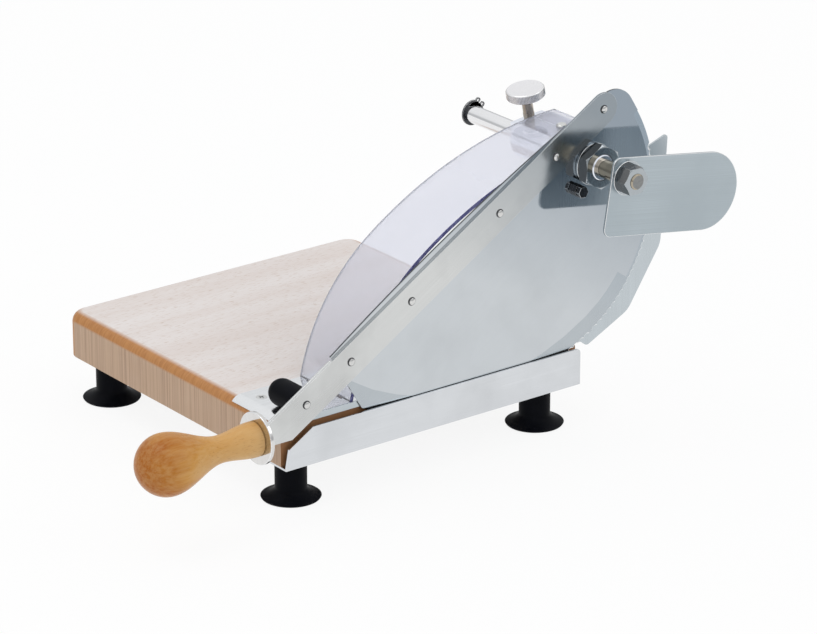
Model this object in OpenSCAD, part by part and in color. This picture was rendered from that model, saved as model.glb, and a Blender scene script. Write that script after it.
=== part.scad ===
// Lever bread slicer: a beech board on suction feet, a long riveted lever with a curved blade that
// cuts beside the board, a clear arched hand guard, and a sliding stop plate that sets the slice.
// X runs along the blade from the handle to the pivot, Y from the blade into the board, Z up.
// The origin lies on the table, under the middle of the whole object. The lever is shown closed.

/* [Board] */
// Length of the board along the blade
board_l = 270; // [250:1:300]
// Width of the board away from the blade
board_w = 280; // [220:1:340]
// Thickness of the board
board_t = 35; // [30:0.5:40]
// Round-over of the upper edges
board_round = 8.3; // [5:0.1:12]
// Radius of the two rear corners seen from above
board_corner = 15; // [13:1:40]

/* [Feet] */
// Height of a suction foot
foot_h = 33.5; // [28:0.5:50]
// Diameter of the suction cup
foot_cup_d = 44.3; // [38:0.1:54]
// Diameter of the stem above the cup
foot_stem_d = 23.6; // [20:0.1:28]
// Height of the flared skirt
foot_skirt_h = 8; // [6:0.5:16]
// Distance of the feet from the ends of the board
foot_end_inset = 22.5; // [18:0.5:40]
// Distance of the front feet from the front of the board
foot_front_inset = 19.5; // [14:0.5:26]
// Distance of the rear feet from the back of the board
foot_rear_inset = 28; // [20:0.5:60]

/* [Rail, plate and upright] */
// Thickness of the rail and the upright
sheet_t = 1.5; // [1:0.1:2.5]
// Thickness of the top plate
plate_t = 1.2; // [0.8:0.1:2]
// Height of the front rail
rail_h = 28.6; // [22:0.2:30]
// Width of the rail's web under the board
rail_web_w = 39; // [32:1:60]
// Length of the slanted cut at the rail's handle end
rail_cut_l = 21; // [8:0.5:30]
// Drop of that slanted cut
rail_cut_drop = 12.6; // [4:0.2:16]
// Width of the top plate
plate_w = 60.7; // [56:0.1:90]
// Angle of the top plate's lip around the board's edge
plate_lip_angle = 55; // [30:1:80]
// Depth of the shear edge below the top of the plate
shear_depth = 4.7; // [3:0.1:7]
// Left edge of the upright's foot, from the pivot end of the board
upright_foot_in = 27; // [20:1:50]
// Reach of the upright past the pivot
upright_reach = 75; // [66:1:84]
// Height of the shoulder on the upright's outer edge, below the pivot
upright_shoulder = 79; // [70:1:90]

/* [Pivot and hub] */
// Distance of the pivot past the end of the board
pivot_overhang = 10; // [6:0.5:14]
// Height of the pivot above the board
pivot_rise = 136.7; // [133:0.1:141]
// Diameter of the hub tube behind the upright
hub_d = 34; // [30:0.5:36]
// Length of the hub tube behind the upright
hub_l = 71; // [70:0.5:90]
// Diameter of the journal that the blade turns on
journal_d = 20; // [18.5:0.5:21]
// Size of the pivot nut across its flats
pivot_nut_af = 30; // [28:0.5:31]
// Thickness of the pivot nut
pivot_nut_t = 10; // [9:0.5:14]
// Thickness of the pivot washer
pivot_washer_t = 2.2; // [1:0.1:3]

/* [Lever] */
// Width of the lever bar
bar_w = 25; // [20:0.5:26]
// Thickness of the lever bar
bar_t = 2; // [1.5:0.1:3]
// Distance of the bar's centre line from the pivot
bar_offset = 29.8; // [29.5:0.1:34]
// Gap between the board and the handle disc on the end of the bar
handle_gap = 21.7; // [16:0.1:40]
// Reach of the bar past the pivot
bar_top_reach = 28.7; // [20:0.1:34]
// Level cut of the bar's handle end above its centre line
bar_end_rise = 2.4; // [0:0.1:5]
// Diameter of the bumper
bumper_d = 20.5; // [16:0.1:24]
// Length of the bumper from the bar to its round tip
bumper_l = 36; // [26:1:50]
// Distance of the bumper from the handle end of the board
bumper_in = 18.7; // [15:0.1:24]
// Diameter of a rivet head
rivet_head_d = 6.5; // [5:0.1:9]
// Height of a rivet head
rivet_head_h = 1.5; // [1:0.1:2.5]

/* [Blade] */
// Thickness of the blade
blade_t = 1.5; // [1.2:0.1:2.5]
// Distance of the blade's tip from the handle end of the bar
blade_setback = 83; // [78:0.5:92]
// Reach of the blade past the pivot
blade_end_reach = 53.6; // [48:0.1:58]
// Depth of the cutting edge below the pivot, across the lever
blade_depth = 115; // [108:0.5:116]
// Drop of the blade's tip below the bar
blade_tip_drop = 27; // [18:0.5:34]
// Radius of the short curve of the edge at the pivot end
blade_heel_r = 120; // [110:0.5:124]
// Rise of the blade's back above the bar
blade_crown = 5.1; // [3:0.1:7]
// Width of the ground bevel
bevel_w = 15; // [8:0.5:22]
// Width of the narrow bevel on the upper heel
heel_bevel_w = 5; // [3:0.5:8]
// Turn of the heel over which the bevel keeps its full width
heel_bevel_turn = 23; // [10:1:60]
// Thickness left at the cutting edge
edge_t = 0.4; // [0.2:0.1:0.8]
// Spacing of the scallops in the cutting edge
scallop_pitch = 5.6; // [5:0.1:14]
// Depth of a scallop
scallop_depth = 1.2; // [0.6:0.1:1.6]

/* [Handle] */
// Length of the wooden grip
grip_l = 98.4; // [90:0.2:130]
// Diameter of the ball of the grip
grip_ball_d = 45.5; // [38:0.5:50]
// Diameter of the neck of the grip
grip_neck_d = 20; // [16:0.5:24]
// Diameter of the grip's foot on the disc
grip_foot_d = 26; // [22:0.5:30]
// Diameter of the handle disc
ferrule_d = 39; // [34:0.5:44]
// Thickness of the handle disc
ferrule_t = 3.2; // [2:0.1:5]
// Diameter of the bolt inside the grip
handle_bolt_d = 8; // [6:0.5:10]

/* [Guard] */
// Thickness of the clear guard
guard_t = 3; // [2:0.5:4]
// Width of the guard
guard_w = 60.4; // [44:0.2:62]
// Inner radius of the arch next to the hub
guard_top_r = 320.5; // [316:0.5:326]
// Inner radius of the arch next to the board
guard_foot_r = 155.8; // [150:0.2:162]
// Slope of the arch where the two radii meet
guard_bend = 36; // [35:0.5:37]
// Slope of the arch where it lies on the hub
guard_lean = 6.3; // [5.5:0.1:7]

/* [Slice stop] */
// Diameter of the stop rod
rod_d = 14; // [11:0.5:14]
// Gap for the slice between the blade and the stop plate
slice_gap = 36.3; // [28:0.1:60]
// Length of the rod behind the hub, with the stop set as shown
rod_tail = 70.5; // [66:0.5:90]
// Diameter of the threaded stud on the rod
stud_d = 12; // [8:0.5:12]
// Length of the stop plate past the stud
stop_reach = 112; // [95:1:130]
// Height of the stop plate
stop_h = 60; // [50:1:80]
// Thickness of the stop plate
stop_t = 2; // [1:0.1:3]
// Tilt of the stop plate as it is set
stop_tilt = 9.2; // [0:0.1:20]
// Size of the stud nut across its flats
stud_nut_af = 19.5; // [17:0.5:22]
// Thickness of the stud nut
stud_nut_t = 10; // [6:0.5:12]
// Diameter of the thumb screw's head
knob_d = 28.8; // [22:0.2:36]
// Thickness of the thumb screw's head
knob_t = 7.2; // [4:0.1:9]
// Diameter of the thumb screw's stem
clamp_d = 8.2; // [6:0.1:8.6]
// Lean of the thumb screw towards the handle
clamp_lean = 11; // [0:1:18]
// Height of the thumb screw's head above the rod's axis
knob_rise = 34.8; // [33:0.1:44]

/* [Hidden] */
$fn = 96;

// Clearances
run_gap = 0.05;
fit_gap = 0.05;
seat_gap = 0.3;
blade_front_gap = 0.8;
blade_back_gap = 1;
face_gap = 0.1;
cut = 1;
far_cut = 900;

// Fasteners
wood_screw_d = 5;
wood_screw_bite = 22;
pan_head_d = 10;
pan_head_h = 3.5;
small_screw_d = 4;
small_head_d = 8;
small_head_h = 2.2;
small_screw_bite = 18;
csk_head_d = 8.5;
csk_head_h = 2.4;
rivet_shank_d = 4;
bumper_core_d = 5;
lock_d = 5;
lock_af = 8;
lock_nut_t = 4;
lock_head_t = 3.5;
lock_head_gap = 0.9;
lock_turn = 198.7;

// The closed lever rests with its bumper on the top plate, and that sets the slope of the bar
bumper_lift = 1;
pivot_from_end = board_l + pivot_overhang;
bumper_v = bar_offset + bumper_lift;
bumper_run = pivot_from_end - bumper_in;
bumper_drop = pivot_rise - plate_t - seat_gap - bumper_d / 2;
bumper_far = norm([bumper_run, bumper_drop]);
bumper_u = -sqrt(pow(bumper_far, 2) - pow(bumper_v, 2));
bar_angle = atan2(bumper_drop, bumper_run) + asin(bumper_v / bumper_far);

// The bar ends at the handle disc, and the blade is as long as the bar lets it be
bar_reach = (pivot_from_end + handle_gap - bar_offset * sin(bar_angle)) / cos(bar_angle);
blade_reach = bar_reach - blade_setback;

// Extent of the whole object from the middle of the board, which places the origin
pivot_from_mid = board_l / 2 + pivot_overhang;
low_x = -board_l / 2 - handle_gap - ferrule_t - grip_l;
stop_top = 14.9;
stop_near = 13.1;
stop_end_r = stop_h / 2;
high_x = pivot_from_mid + (stop_reach - stop_end_r) * cos(stop_tilt)
  + (stop_top - stop_end_r) * sin(stop_tilt) + stop_end_r;
stud_washer_t = 2.5;
stud_over = 1.5;
front_reach = sheet_t + blade_back_gap + blade_t + slice_gap + stop_t + stud_washer_t + stud_nut_t + stud_over;
board_x = -(low_x + high_x) / 2;
board_y = front_reach / 2;

// Planes across the slot, from the board's front face outwards
face_y = board_y - board_w / 2;
rear_y = board_y + board_w / 2;
upright_front_y = face_y - sheet_t;
blade_back_y = upright_front_y - blade_back_gap;
blade_front_y = blade_back_y - blade_t;
rail_inner_y = blade_front_y - blade_front_gap;
rail_outer_y = rail_inner_y - sheet_t;
bar_front_y = blade_front_y - bar_t;

// Levels and ends
board_z = foot_h;
board_top = board_z + board_t;
plate_top = board_top + plate_t;
near_x = board_x - board_l / 2;
far_x = board_x + board_l / 2;
pivot_x = board_x + pivot_from_mid;
pivot_z = board_top + pivot_rise;

// Feet and screws in the board
foot_near_x = near_x + foot_end_inset;
foot_far_x = far_x - foot_end_inset;
foot_front_y = face_y + foot_front_inset;
foot_rear_y = rear_y - foot_rear_inset;
foot_bore_d = 12.4;
foot_bore_h = 8;
rail_screw_xs = [for (k = [-1:1]) board_x + k * board_l / 5];
plate_screw_xs = [near_x + 16.5, far_x - 16];
plate_screw_ys = [face_y + 13.7, face_y + 46.3];

// Lever: u runs along the bar and v across it, both measured from the pivot
bar_low = bar_offset - bar_w / 2;
bar_high = bar_offset + bar_w / 2;
rivet_first_u = 10.9 - blade_reach;
rivet_steps = [0, 0.235, 0.582, 0.807, 1];
rivet_us = [for (s = rivet_steps) rivet_first_u + s * (bar_top_reach - rivet_first_u)];
function lever_x(u, v) = pivot_x + u * cos(bar_angle) - v * sin(bar_angle);
function lever_z(u, v) = pivot_z + u * sin(bar_angle) + v * cos(bar_angle);
bar_end_x = lever_x(-bar_reach, bar_offset);
bar_end_z = lever_z(-bar_reach, bar_offset);
bumper_x = lever_x(bumper_u, bumper_v);
bumper_z = lever_z(bumper_u, bumper_v);
bumper_core_l = bumper_l * 0.6;
handle_y = (bar_front_y + blade_back_y) / 2;
handle_z = bar_end_z + 10.9;
handle_bolt_l = 70;

// Hub and nut
hub_back_y = face_y + hub_l;
pivot_washer_d = pivot_nut_af + 2;
washer_back_y = blade_front_y - seat_gap;
nut_back_y = washer_back_y - pivot_washer_t;
nut_front_y = nut_back_y - pivot_nut_t;
journal_end_y = nut_front_y - 0.6;
lock_r = (pivot_nut_af + lock_af) / sqrt(3) + 0.66;
lock_x = pivot_x + lock_r * cos(lock_turn + bar_angle);
lock_z = pivot_z + lock_r * sin(lock_turn + bar_angle);
lock_nut_y = blade_front_y - lock_nut_t;
lock_front_y = lock_nut_y - lock_head_gap - lock_head_t;

// Guard: two tangent arcs, the upper one lying on the hub
hub_r = hub_d / 2;
hub_pad_w = 30;
guard_front_y = face_y + seat_gap;
guard_back_y = guard_front_y + guard_w;
guard_seat = 2;
guard_tongue_in = 9;
guard_top_c = [pivot_x, pivot_z] + (guard_top_r - hub_r) * [sin(guard_lean), -cos(guard_lean)];
guard_foot_c = guard_top_c + (guard_top_r - guard_foot_r) * [-sin(guard_bend), cos(guard_bend)];
guard_foot_angle = acos((board_top - guard_foot_c[1]) / guard_foot_r);
guard_foot_x = guard_foot_c[0] - (guard_foot_r + guard_t / 2) * sin(guard_foot_angle);
guard_groove_w = guard_t / sin(guard_foot_angle) + 2;
guard_end_angle = 3;
guard_screw_ys = [face_y + 8, face_y + 29];

// Slice stop
stop_back_y = blade_front_y - slice_gap;
stop_front_y = stop_back_y - stop_t;
stud_washer_d = 26;
stud_nut_back_y = stop_front_y - stud_washer_t;
stud_end_y = stud_nut_back_y - stud_nut_t - stud_over;
rod_back_y = hub_back_y + rod_tail;
groove_depth = 0.5;
groove_w = 1.3;
groove_y = rod_back_y - 2.4;
circlip_t = 1.2;
circlip_w = 3.4;
circlip_gap_half = 5;
clamp_y = guard_back_y + 0.5 + clamp_d / 2;

// Helpers
module turn_y(x, z, y) {
  translate([x, y, z]) rotate([-90, 0, 0]) children();
}

module slab_xz(back_y, t) {
  translate([0, back_y, 0]) rotate([90, 0, 0]) linear_extrude(t) children();
}

module slab_lever(back_y, t) {
  translate([pivot_x, back_y, pivot_z]) rotate([90, 0, 0]) rotate(bar_angle) linear_extrude(t) children();
}

// Lever frame with u to the right, v up and the third axis pointing out of the blade's front
module in_lever(front_y) {
  translate([pivot_x, front_y, pivot_z]) rotate([90, 0, 0]) rotate(bar_angle) children();
}

module at_rivets() {
  in_lever(bar_front_y) for (u = rivet_us) translate([u, bar_offset, 0]) children();
}

module round_corner(r, turn) {
  rotate(turn) translate([-r, -r]) difference() {
    square(r + cut);
    circle(r);
  }
}

module hex_nut(af, t, bore) {
  corner = af / sqrt(3);
  chamfer = (corner - af / 2) * tan(30);
  difference() {
    intersection() {
      cylinder(r = corner, h = t, $fn = 6);
      rotate_extrude() polygon([
        [0, 0], [af / 2, 0], [corner, chamfer], [corner, t - chamfer], [af / 2, t], [0, t]
      ]);
    }
    translate([0, 0, -cut]) cylinder(d = bore, h = t + 2 * cut);
  }
}

module washer(d, bore, t) {
  difference() {
    cylinder(d = d, h = t);
    translate([0, 0, -cut]) cylinder(d = bore, h = t + 2 * cut);
  }
}

// Screw with a pan head below the origin and its shank above it
module pan_screw(shank_d, bite, head_d, head_h) {
  cylinder(d = shank_d, h = bite);
  translate([0, 0, -head_h]) rotate_extrude() polygon([
    [0, 0], [head_d / 2 - head_h / 2, 0], [head_d / 2 - head_h / 6, head_h / 5],
    [head_d / 2, head_h / 2], [head_d / 2, head_h], [0, head_h]
  ]);
}

module csk_screw(extra) {
  cylinder(d1 = csk_head_d, d2 = small_screw_d + 2 * extra, h = csk_head_h);
  cylinder(d = small_screw_d + 2 * extra, h = small_screw_bite + extra);
}

// Domed head above the origin
module dome_head(d, h) {
  ball_r = (d * d / 4 + h * h) / (2 * h);
  rise = asin(d / 2 / ball_r);
  rotate_extrude() polygon(concat(
    [[0, 0]],
    [for (k = [8:-1:0]) [ball_r * sin(rise * k / 8), h - ball_r * (1 - cos(rise * k / 8))]]
  ));
}

module at_plate_screws() {
  for (x = plate_screw_xs, y = plate_screw_ys) translate([x, y, plate_top]) rotate([180, 0, 0]) children();
}

module at_feet() {
  for (x = [foot_near_x, foot_far_x], y = [foot_front_y, foot_rear_y]) translate([x, y, 0]) children();
}

module at_rail_screws() {
  for (x = rail_screw_xs) translate([x, foot_front_y, board_z]) children();
}

// Rounds the corners of an outline given as [x, z, radius]
function corner_arc(a, b, c, steps = 8) =
  let (
    u = [a[0] - b[0], a[1] - b[1]] / norm([a[0] - b[0], a[1] - b[1]]),
    w = [c[0] - b[0], c[1] - b[1]] / norm([c[0] - b[0], c[1] - b[1]]),
    half = acos(u * w) / 2,
    centre = [b[0], b[1]] + (u + w) / norm(u + w) * b[2] / sin(half),
    from = [b[0], b[1]] + u * b[2] / tan(half) - centre,
    to = [b[0], b[1]] + w * b[2] / tan(half) - centre
  )
  b[2] == 0 ? [[b[0], b[1]]] : [
    for (k = [0:steps])
      let (p = from + (to - from) * k / steps)
      centre + p / norm(p) * b[2]
  ];

function rounded(pts) = [
  for (i = [0:len(pts) - 1])
    each corner_arc(pts[(i + len(pts) - 1) % len(pts)], pts[i], pts[(i + 1) % len(pts)])
];

// Wooden board: square front corners, round rear corners, rounded upper edges
module base_board() {
  color("burlywood") difference() {
    translate([0, 0, board_z]) linear_extrude(board_t) difference() {
      translate([near_x, face_y]) square([board_l, board_w]);
      translate([far_x, rear_y]) round_corner(board_corner, 0);
      translate([near_x, rear_y]) round_corner(board_corner, 90);
    }
    translate([board_x, board_y, board_top]) edge_rounding();
    translate([near_x - cut, face_y - cut, board_z - cut])
      cube([board_l + 2 * cut, rail_web_w + cut, sheet_t + cut]);
    guard_groove();
    at_plate_screws() csk_screw(fit_gap);
    at_feet() translate([0, 0, board_z - cut]) cylinder(d = wood_screw_d + 2 * fit_gap, h = wood_screw_bite + cut);
    at_rail_screws() cylinder(d = small_screw_d + 2 * fit_gap, h = small_screw_bite);
  }
}

// Groove for the tongue of the guard, through the plate and into the board
module guard_groove() {
  translate([guard_foot_x - guard_groove_w / 2, guard_front_y + guard_tongue_in - seat_gap, board_top - guard_seat])
    cube([guard_groove_w, guard_w - 2 * guard_tongue_in + 2 * seat_gap, guard_seat + plate_t + cut]);
}

module rounding_profile() {
  translate([-board_round, -board_round]) difference() {
    square(board_round + cut);
    circle(board_round);
  }
}

module edge_rounding() {
  half_l = board_l / 2;
  half_w = board_w / 2;
  for (side = [0, 1]) mirror([side, 0, 0]) {
    translate([half_l, half_w - board_corner, 0]) rotate([90, 0, 0])
      linear_extrude(board_w - board_corner + cut) rounding_profile();
    translate([half_l - board_corner, half_w - board_corner, 0])
      rotate_extrude(angle = 90) translate([board_corner, 0]) rounding_profile();
  }
  translate([board_corner - half_l, half_w, 0]) rotate([90, 0, 90])
    linear_extrude(board_l - 2 * board_corner) rounding_profile();
}

// Rubber suction foot: a stem over a flared skirt with a hollow underside
module suction_foot(x, y) {
  cup_r = foot_cup_d / 2;
  stem_r = foot_stem_d / 2;
  bore_r = foot_bore_d / 2;
  hole_r = wood_screw_d / 2 + fit_gap;
  lip = 1;
  flare = cup_r - stem_r;
  color("#17191c") translate([x, y, 0]) rotate_extrude() polygon(concat(
    [[hole_r, foot_bore_h], [hole_r, foot_h], [stem_r, foot_h]],
    [for (k = [6:-1:0])
      [cup_r - flare * sin(k * 15), lip + (foot_skirt_h - lip) * (1 + 0.5 * sin(k * 15) - cos(k * 15)) / 1.5]],
    [[cup_r - 0.6, 0], [cup_r - 5, 0], [bore_r, 2], [bore_r, foot_bore_h]]
  ));
}

module foot_front_near() {
  suction_foot(foot_near_x, foot_front_y);
}

module foot_front_far() {
  suction_foot(foot_far_x, foot_front_y);
}

module foot_rear_near() {
  suction_foot(foot_near_x, foot_rear_y);
}

module foot_rear_far() {
  suction_foot(foot_far_x, foot_rear_y);
}

module foot_screws() {
  color("silver") at_feet() translate([0, 0, foot_bore_h])
    pan_screw(wood_screw_d, foot_h - foot_bore_h + wood_screw_bite - seat_gap, pan_head_d, pan_head_h);
}

// L-shaped rail: the outer wall of the blade slot, with a web under the board
module front_rail() {
  lean = 3;
  rail_top = board_z + rail_h;
  color("gainsboro") difference() {
    union() {
      slab_xz(rail_inner_y, sheet_t) difference() {
        polygon([
          [near_x, board_z], [far_x, board_z], [far_x, rail_top],
          [near_x + lean + rail_cut_l, rail_top], [near_x + lean, rail_top - rail_cut_drop]
        ]);
        translate([far_x, rail_top]) round_corner(3.5, 0);
      }
      translate([near_x, rail_inner_y, board_z]) cube([board_l, face_y - rail_inner_y + rail_web_w, sheet_t]);
    }
    for (x = [foot_near_x, foot_far_x]) translate([x, foot_front_y, board_z - cut])
      cylinder(d = wood_screw_d + 2 * fit_gap, h = sheet_t + 2 * cut);
    at_rail_screws() translate([0, 0, -cut]) cylinder(d = small_screw_d + 2 * fit_gap, h = sheet_t + 2 * cut);
  }
}

module rail_screws() {
  color("silver") at_rail_screws()
    pan_screw(small_screw_d, small_screw_bite - seat_gap, small_head_d, small_head_h);
}

// Top plate on the board, with a lip that follows the rounded edge at the handle end
module top_plate() {
  lip_x = near_x + board_round;
  color("whitesmoke") difference() {
    union() {
      translate([lip_x, face_y, board_top]) cube([board_l - 2 * board_round, plate_w, plate_t]);
      slab_xz(face_y + plate_w, plate_w) translate([lip_x, board_top - board_round]) intersection() {
        difference() {
          circle(board_round + plate_t);
          circle(board_round);
        }
        polygon([
          [0, 0], [0, far_cut], far_cut * [-sin(plate_lip_angle), cos(plate_lip_angle)]
        ]);
      }
    }
    at_plate_screws() csk_screw(fit_gap);
    guard_groove();
  }
}

module plate_screws() {
  color("lightgray") at_plate_screws() csk_screw(0);
}

// Upright: carries the hub past the end of the board, and runs along the slot as the shear edge
module upright() {
  low = plate_top - shear_depth;
  boss_r = hub_r + 9;
  tab_x = pivot_x + upright_reach;
  shoulder_z = pivot_z - upright_shoulder;
  color("gainsboro") slab_xz(face_y, sheet_t) difference() {
    union() {
      polygon(rounded([
        [near_x + board_round, low, 0], [far_x + 4, low, 0], [far_x + 9.8, low - 4.6, 4],
        [pivot_x + 39.3, low + 14.7, 18], [tab_x - 5, shoulder_z, 16], [tab_x, pivot_z + 7.2, 2.5],
        [pivot_x + boss_r, pivot_z - 10, 0], [pivot_x, pivot_z, 0], [pivot_x - boss_r, pivot_z - 2, 0],
        [far_x - upright_foot_in, plate_top, 14], [near_x + board_round, plate_top, 0]
      ]));
      translate([pivot_x, pivot_z]) circle(boss_r);
    }
    translate([pivot_x, pivot_z]) circle(d = journal_d);
  }
}

// Hub: a tube behind the upright with a pad on which the guard lies, and a threaded journal that
// carries the blade and takes the nut
module hub_tube() {
  color("silver") difference() {
    union() {
      turn_y(pivot_x, pivot_z, 0) rotate_extrude() polygon([
        [0, journal_end_y], [journal_d / 2 - 1, journal_end_y], [journal_d / 2, journal_end_y + 1],
        [journal_d / 2, face_y], [hub_r, face_y], [hub_r, hub_back_y - 1], [hub_r - 1, hub_back_y], [0, hub_back_y]
      ]);
      slab_xz(hub_back_y, hub_l) intersection() {
        translate([pivot_x, pivot_z]) rotate(guard_lean) translate([-hub_pad_w / 2, 0]) square([hub_pad_w, hub_d]);
        translate(guard_top_c) circle(guard_top_r - 2 * fit_gap, $fn = 720);
      }
    }
    turn_y(pivot_x, pivot_z, journal_end_y - cut)
      cylinder(d = rod_d + 2 * run_gap, h = hub_back_y - journal_end_y + 2 * cut);
    at_clamp() cylinder(d = clamp_d + 2 * run_gap, h = hub_d);
    at_guard_screws() translate([0, 0, rod_d / 2 + 1]) cylinder(d = small_screw_d + 2 * fit_gap, h = hub_d);
  }
}

module at_clamp() {
  translate([pivot_x, clamp_y, pivot_z]) rotate([0, -clamp_lean, 0]) children();
}

module at_guard_screws() {
  for (y = guard_screw_ys) translate([pivot_x, y, pivot_z]) rotate([0, -guard_lean, 0]) children();
}

module thrust_washer() {
  color("ivory") turn_y(pivot_x, pivot_z, upright_front_y - blade_back_gap + seat_gap)
    washer(hub_d + 10, journal_d + 2 * fit_gap, blade_back_gap - seat_gap);
}

module pivot_washer() {
  color("silver") turn_y(pivot_x, pivot_z, nut_back_y)
    washer(pivot_washer_d, journal_d + 2 * fit_gap, pivot_washer_t);
}

module pivot_nut() {
  color("lightgray") turn_y(pivot_x, pivot_z, nut_front_y) rotate(30)
    hex_nut(pivot_nut_af, pivot_nut_t, journal_d + 2 * fit_gap);
}

// Small screw in the blade beside the pivot nut, held by a nut of its own
module lock_screw() {
  color("dimgray") turn_y(lock_x, lock_z, lock_front_y) union() {
    cylinder(r = lock_af / sqrt(3), h = lock_head_t, $fn = 6);
    cylinder(d = lock_d, h = blade_back_y - lock_front_y);
  }
}

module lock_nut() {
  color("silver") turn_y(lock_x, lock_z, lock_nut_y) hex_nut(lock_af, lock_nut_t, lock_d + 2 * fit_gap);
}

// Clear guard: one sheet bent to two radii, from the top plate to the top of the hub, with a tongue
// at its foot that goes through the plate into the board
function arc_points(centre, r, from, to, steps) =
  [for (k = [0:steps]) centre + r * [-sin(from + (to - from) * k / steps), cos(from + (to - from) * k / steps)]];

function guard_face(extra) = concat(
  arc_points(guard_top_c, guard_top_r + extra, guard_end_angle, guard_bend, 20),
  arc_points(guard_foot_c, guard_foot_r + extra, guard_bend + 2, guard_foot_angle + 6, 20)
);

module guard_profile() {
  outer = guard_face(guard_t);
  inner = guard_face(0);
  polygon(concat(outer, [for (k = [len(inner) - 1:-1:0]) inner[k]]));
}

module hand_guard() {
  color([0.82, 0.84, 0.95, 0.4]) difference() {
    slab_xz(guard_back_y, guard_w) guard_profile();
    translate([near_x, guard_front_y - cut, plate_top - far_cut])
      cube([board_l, guard_tongue_in + cut, far_cut]);
    translate([near_x, guard_back_y - guard_tongue_in, plate_top - far_cut])
      cube([board_l, guard_tongue_in + cut, far_cut]);
    translate([near_x, guard_front_y - cut, board_top - guard_seat - far_cut])
      cube([board_l, guard_w + 2 * cut, far_cut]);
    at_guard_screws() translate([0, 0, hub_r - cut])
      cylinder(d = small_screw_d + 2 * fit_gap, h = guard_t + 3 * cut);
  }
}

module guard_screws() {
  color("silver") at_guard_screws() translate([0, 0, hub_r + guard_t]) rotate([180, 0, 0])
    pan_screw(small_screw_d, guard_t + (hub_d - rod_d) / 2 - 1.5, small_head_d, small_head_h);
}

// Blade: a long and a short curve meet in the cutting edge, under a crowned back
tip_run = blade_reach + blade_end_reach - blade_heel_r;
tip_rise = bar_low - blade_tip_drop + blade_depth;
blade_long_r = (pow(tip_run, 2) + pow(tip_rise, 2)) / (2 * tip_rise);
long_c = [blade_end_reach - blade_heel_r, blade_long_r - blade_depth];
heel_c = [blade_end_reach - blade_heel_r, blade_heel_r - blade_depth];
back_r = 1800;
back_c = [-150, bar_high + blade_crown - back_r];
apex_r = 20;
apex_u = blade_end_reach - apex_r;
apex_c = [apex_u, back_c[1] + sqrt(pow(back_r - apex_r, 2) - pow(apex_u - back_c[0], 2))];

module blade_outline() {
  difference() {
    intersection() {
      union() {
        intersection() {
          translate(long_c) circle(blade_long_r, $fn = 360);
          translate([-blade_reach, -far_cut]) square([blade_reach + long_c[0], 2 * far_cut]);
        }
        intersection() {
          translate(heel_c) circle(blade_heel_r, $fn = 360);
          translate([heel_c[0], -far_cut]) square([far_cut, far_cut + heel_c[1]]);
        }
        translate(heel_c) square([blade_heel_r, far_cut]);
      }
      translate(back_c) circle(back_r, $fn = 2400);
    }
    translate(apex_c) difference() {
      polygon([[0, 0], [far_cut, 0], [far_cut, far_cut], (apex_c - back_c) / 2]);
      circle(apex_r);
    }
    circle(d = journal_d + 2 * run_gap);
  }
}

// Ring with a sloping floor that grinds a bevel of width w on the blade's front, over a turn
module bevel_cut(r, w, from, turn) {
  rotate(from) rotate_extrude(angle = turn, $fn = 360) polygon([
    [r - w, 0], [r + cut, (edge_t - blade_t) * (1 + cut / w)], [r + cut, cut], [r - w, cut]
  ]);
}

// Every second one of the ground hollows along an edge of radius r, their walls slanting to the front
module scallops(r, from, to, first) {
  scallop_r = 0.6 * scallop_pitch;
  front_r = 0.92 * scallop_pitch;
  height = 0.75 * blade_t;
  back_r = scallop_r - (front_r - scallop_r) * cut / height;
  step = scallop_pitch / r * 180 / PI;
  for (a = [from + (first + 0.5) * step:2 * step:to]) rotate(a)
    translate([r + scallop_r - scallop_depth, 0, -blade_t - cut])
      cylinder(r1 = back_r, r2 = front_r, h = height + cut, $fn = 24);
}

module edge_scallops(first) {
  long_start = 180 + acos((blade_reach + long_c[0]) / blade_long_r);
  in_lever(blade_front_y) {
    translate(long_c) scallops(blade_long_r, long_start + 2, 269, first);
    translate(heel_c) scallops(blade_heel_r, 270, 345, first);
  }
}

module ground_blade() {
  difference() {
    slab_lever(blade_back_y, blade_t) blade_outline();
    in_lever(blade_front_y) {
      translate(long_c) bevel_cut(blade_long_r, bevel_w, 180, 90);
      translate(heel_c) bevel_cut(blade_heel_r, bevel_w, 270, heel_bevel_turn);
      translate(heel_c) bevel_cut(blade_heel_r, heel_bevel_w, 270, 90);
    }
    at_rivets() translate([0, 0, -bar_t - blade_t - cut])
      cylinder(d = rivet_shank_d + 2 * fit_gap, h = bar_t + blade_t + 2 * cut);
    turn_y(lock_x, lock_z, blade_front_y - cut) cylinder(d = lock_d + 2 * fit_gap, h = blade_t + 2 * cut);
  }
}

module blade() {
  color("lightgray") difference() {
    difference() {
      ground_blade();
      edge_scallops(0);
    }
    edge_scallops(1);
  }
}

// Lever bar: round at the pivot end, cut upright and level at the handle end
module bar_outline(upper_u) {
  difference() {
    translate([-bar_reach - bar_w, bar_low]) square([bar_reach + bar_w + upper_u, bar_w]);
    translate([-bar_reach, bar_offset]) rotate(-bar_angle) {
      translate([-far_cut, -far_cut / 2]) square(far_cut);
      translate([-far_cut / 2, bar_end_rise - far_cut]) square(far_cut);
    }
    translate([bumper_u, bumper_v]) circle(d = bumper_core_d + 2 * fit_gap);
  }
}

module lever_bar() {
  color("gainsboro") difference() {
    slab_lever(blade_front_y, bar_t) union() {
      bar_outline(bar_top_reach);
      translate([bar_top_reach, bar_offset]) circle(d = bar_w);
    }
    at_rivets() translate([0, 0, -bar_t - cut]) cylinder(d = rivet_shank_d + 2 * fit_gap, h = bar_t + 2 * cut);
  }
}

module bar_doubler() {
  color("gainsboro") slab_lever(blade_back_y, blade_t) bar_outline(-blade_reach - 1.5);
}

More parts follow.
